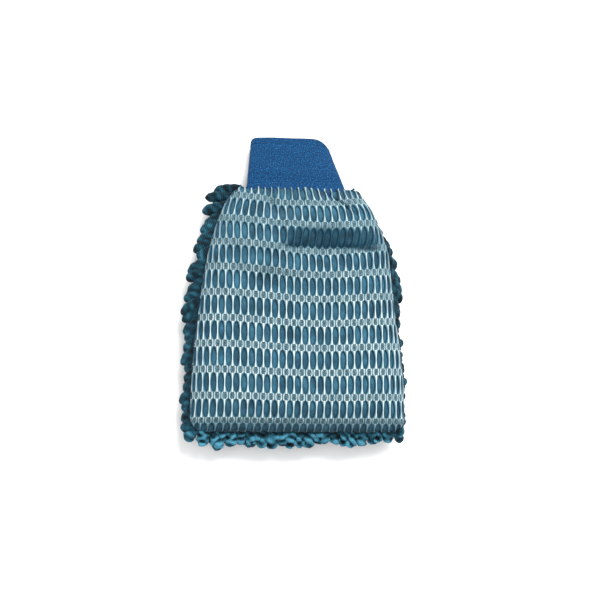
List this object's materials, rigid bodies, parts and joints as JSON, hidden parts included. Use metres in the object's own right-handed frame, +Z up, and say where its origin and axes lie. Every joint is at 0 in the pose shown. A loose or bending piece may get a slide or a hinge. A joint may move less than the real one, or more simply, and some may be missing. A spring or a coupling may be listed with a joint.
{
  "type": "wash mitt",
  "caption": "Car wash mitt: a holed scrub net over padded cloth on one side, chenille noodles on the other, a pocket for the hand between them and a knitted wrist cuff.",
  "frame": {"origin": "on the surface the mitt lies on, under the middle of its bounding box", "axes": "+Y from the fingertip end to the wrist cuff, +Z up out of the scrub net, +X to the right with the net facing the viewer and the cuff at the top"},
  "size_m": [0.1912, 0.2594, 0.0475],
  "materials": {
    "net": "white and pale aqua polyester warp-knit scrub net with long open holes, satin filaments",
    "face_cloth": "brushed teal-blue polyester backing cloth, matt",
    "foam": "open-cell polyurethane padding, matt",
    "lining": "plain tricot lining, soft sheen",
    "pile_cloth": "knitted ground cloth of the chenille pile, matt",
    "chenille": "thick microfibre chenille noodles, short plush fibres",
    "knit": "ribbed polyester cuff knit, fine speckled stitches",
    "elastic": "white woven elastic",
    "binding": "woven polyester tape",
    "thread": "spun polyester sewing thread, slight sheen"
  },
  "bodies": {
    "mitt": {"scrub_net": "net", "face_cloth": "face_cloth", "face_foam": "foam", "face_lining": "lining", "pile_cloth": "pile_cloth", "back_lining": "lining", "seam_binding": "binding", "side_seam_thread": "thread", "wrist_elastic": "elastic", "wrist_thread": "thread", "noodle_row_01": "chenille", "noodle_row_02": "chenille", "noodle_row_03": "chenille", "noodle_row_04": "chenille", "noodle_row_05": "chenille", "noodle_row_06": "chenille", "noodle_row_07": "chenille", "noodle_row_08": "chenille", "noodle_row_09": "chenille", "noodle_row_10": "chenille", "noodle_row_11": "chenille", "noodle_row_12": "chenille", "noodle_row_13": "chenille", "noodle_row_14": "chenille", "noodle_row_15": "chenille", "noodle_row_16": "chenille", "noodle_row_17": "chenille", "noodle_row_18": "chenille", "noodle_row_19": "chenille", "noodle_row_20": "chenille", "noodle_row_21": "chenille"},
    "cuff": {"cuff_knit": "knit", "hem_elastic": "elastic", "hem_thread": "thread"}
  },
  "joints": [
    {"name": "wrist_flex", "type": "hinge", "parent": "mitt", "child": "cuff", "pos_m": [0, 0.08871, 0.02], "axis": [1, 0, 0], "range_deg": [-60, 60]}
  ]
}
